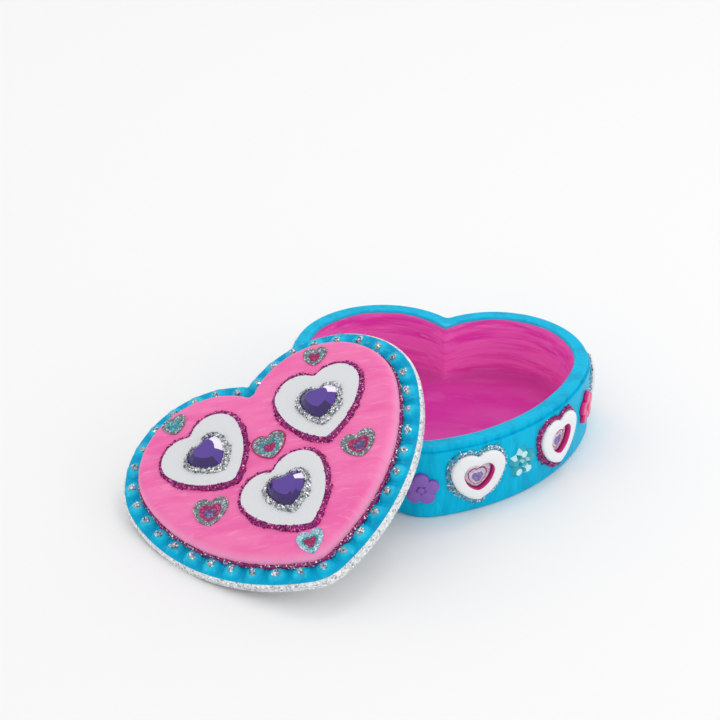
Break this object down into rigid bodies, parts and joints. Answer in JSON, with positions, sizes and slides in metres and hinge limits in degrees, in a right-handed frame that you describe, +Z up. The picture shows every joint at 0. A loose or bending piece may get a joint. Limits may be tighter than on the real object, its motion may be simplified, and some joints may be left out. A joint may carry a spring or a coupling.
{
  "type": "heart keepsake box",
  "caption": "Open heart-shaped trinket box with hand-painted walls, stuck-on hearts, flowers and gems, and a loose domed lid with a scalloped border that leans on its rim.",
  "frame": {"origin": "on the table plane under the box, midway between the centres of the two lobes of its heart outline", "axes": "+Z up, -Y towards the tip of the box's heart, +X to the right of someone who looks at that tip"},
  "size_m": [0.1791, 0.1744, 0.058],
  "materials": {
    "box_paint": "hand-painted satin, pink inside",
    "lid_paint": "hand-painted satin, blue scalloped border and silver edge",
    "white_resin": "satin",
    "silver_glitter": "glitter glue, dried clear with flakes",
    "magenta_glitter": "glitter glue, dried clear with flakes",
    "purple_gem": "polished, faceted",
    "purple_flower": "polished",
    "teal_flower": "polished",
    "magenta_flower": "polished",
    "foil_sticker": "foil with glitter"
  },
  "bodies": {
    "box": {"box_shell": "box_paint", "side_flower_left_1": "teal_flower", "side_flower_left_2": "magenta_flower", "side_flower_left_3": "purple_flower", "side_flower_right_1": "teal_flower", "side_flower_right_2": "magenta_flower", "side_flower_right_3": "purple_flower", "side_flower_tip": "purple_flower", "side_glitter_left_1": "silver_glitter", "side_glitter_left_2": "magenta_glitter", "side_glitter_left_3": "silver_glitter", "side_glitter_right_1": "silver_glitter", "side_glitter_right_2": "magenta_glitter", "side_glitter_right_3": "silver_glitter", "side_heart_left_1": "white_resin", "side_heart_left_2": "white_resin", "side_heart_left_3": "white_resin", "side_heart_right_1": "white_resin", "side_heart_right_2": "white_resin", "side_heart_right_3": "white_resin", "side_sticker_left_1": "foil_sticker", "side_sticker_left_2": "foil_sticker", "side_sticker_left_3": "foil_sticker", "side_sticker_right_1": "foil_sticker", "side_sticker_right_2": "foil_sticker", "side_sticker_right_3": "foil_sticker"},
    "lid": {"lid": "lid_paint", "lid_border_dots": "silver_glitter", "lid_border_line": "magenta_glitter", "lid_gem_collar_front": "silver_glitter", "lid_gem_collar_left": "silver_glitter", "lid_gem_collar_right": "silver_glitter", "lid_gem_front": "purple_gem", "lid_gem_left": "purple_gem", "lid_gem_right": "purple_gem", "lid_plaque_front": "white_resin", "lid_plaque_left": "white_resin", "lid_plaque_line_front": "magenta_glitter", "lid_plaque_line_left": "magenta_glitter", "lid_plaque_line_right": "magenta_glitter", "lid_plaque_right": "white_resin", "lid_sticker_back_left": "foil_sticker", "lid_sticker_back_right": "foil_sticker", "lid_sticker_front": "foil_sticker", "lid_sticker_left": "foil_sticker", "lid_sticker_middle": "foil_sticker", "lid_sticker_right": "foil_sticker"}
  },
  "joints": [
    {"name": "lid_lift", "type": "slide", "parent": "box", "child": "lid", "axis": [0, 0, 1], "range_m": [0, 0.1]}
  ]
}
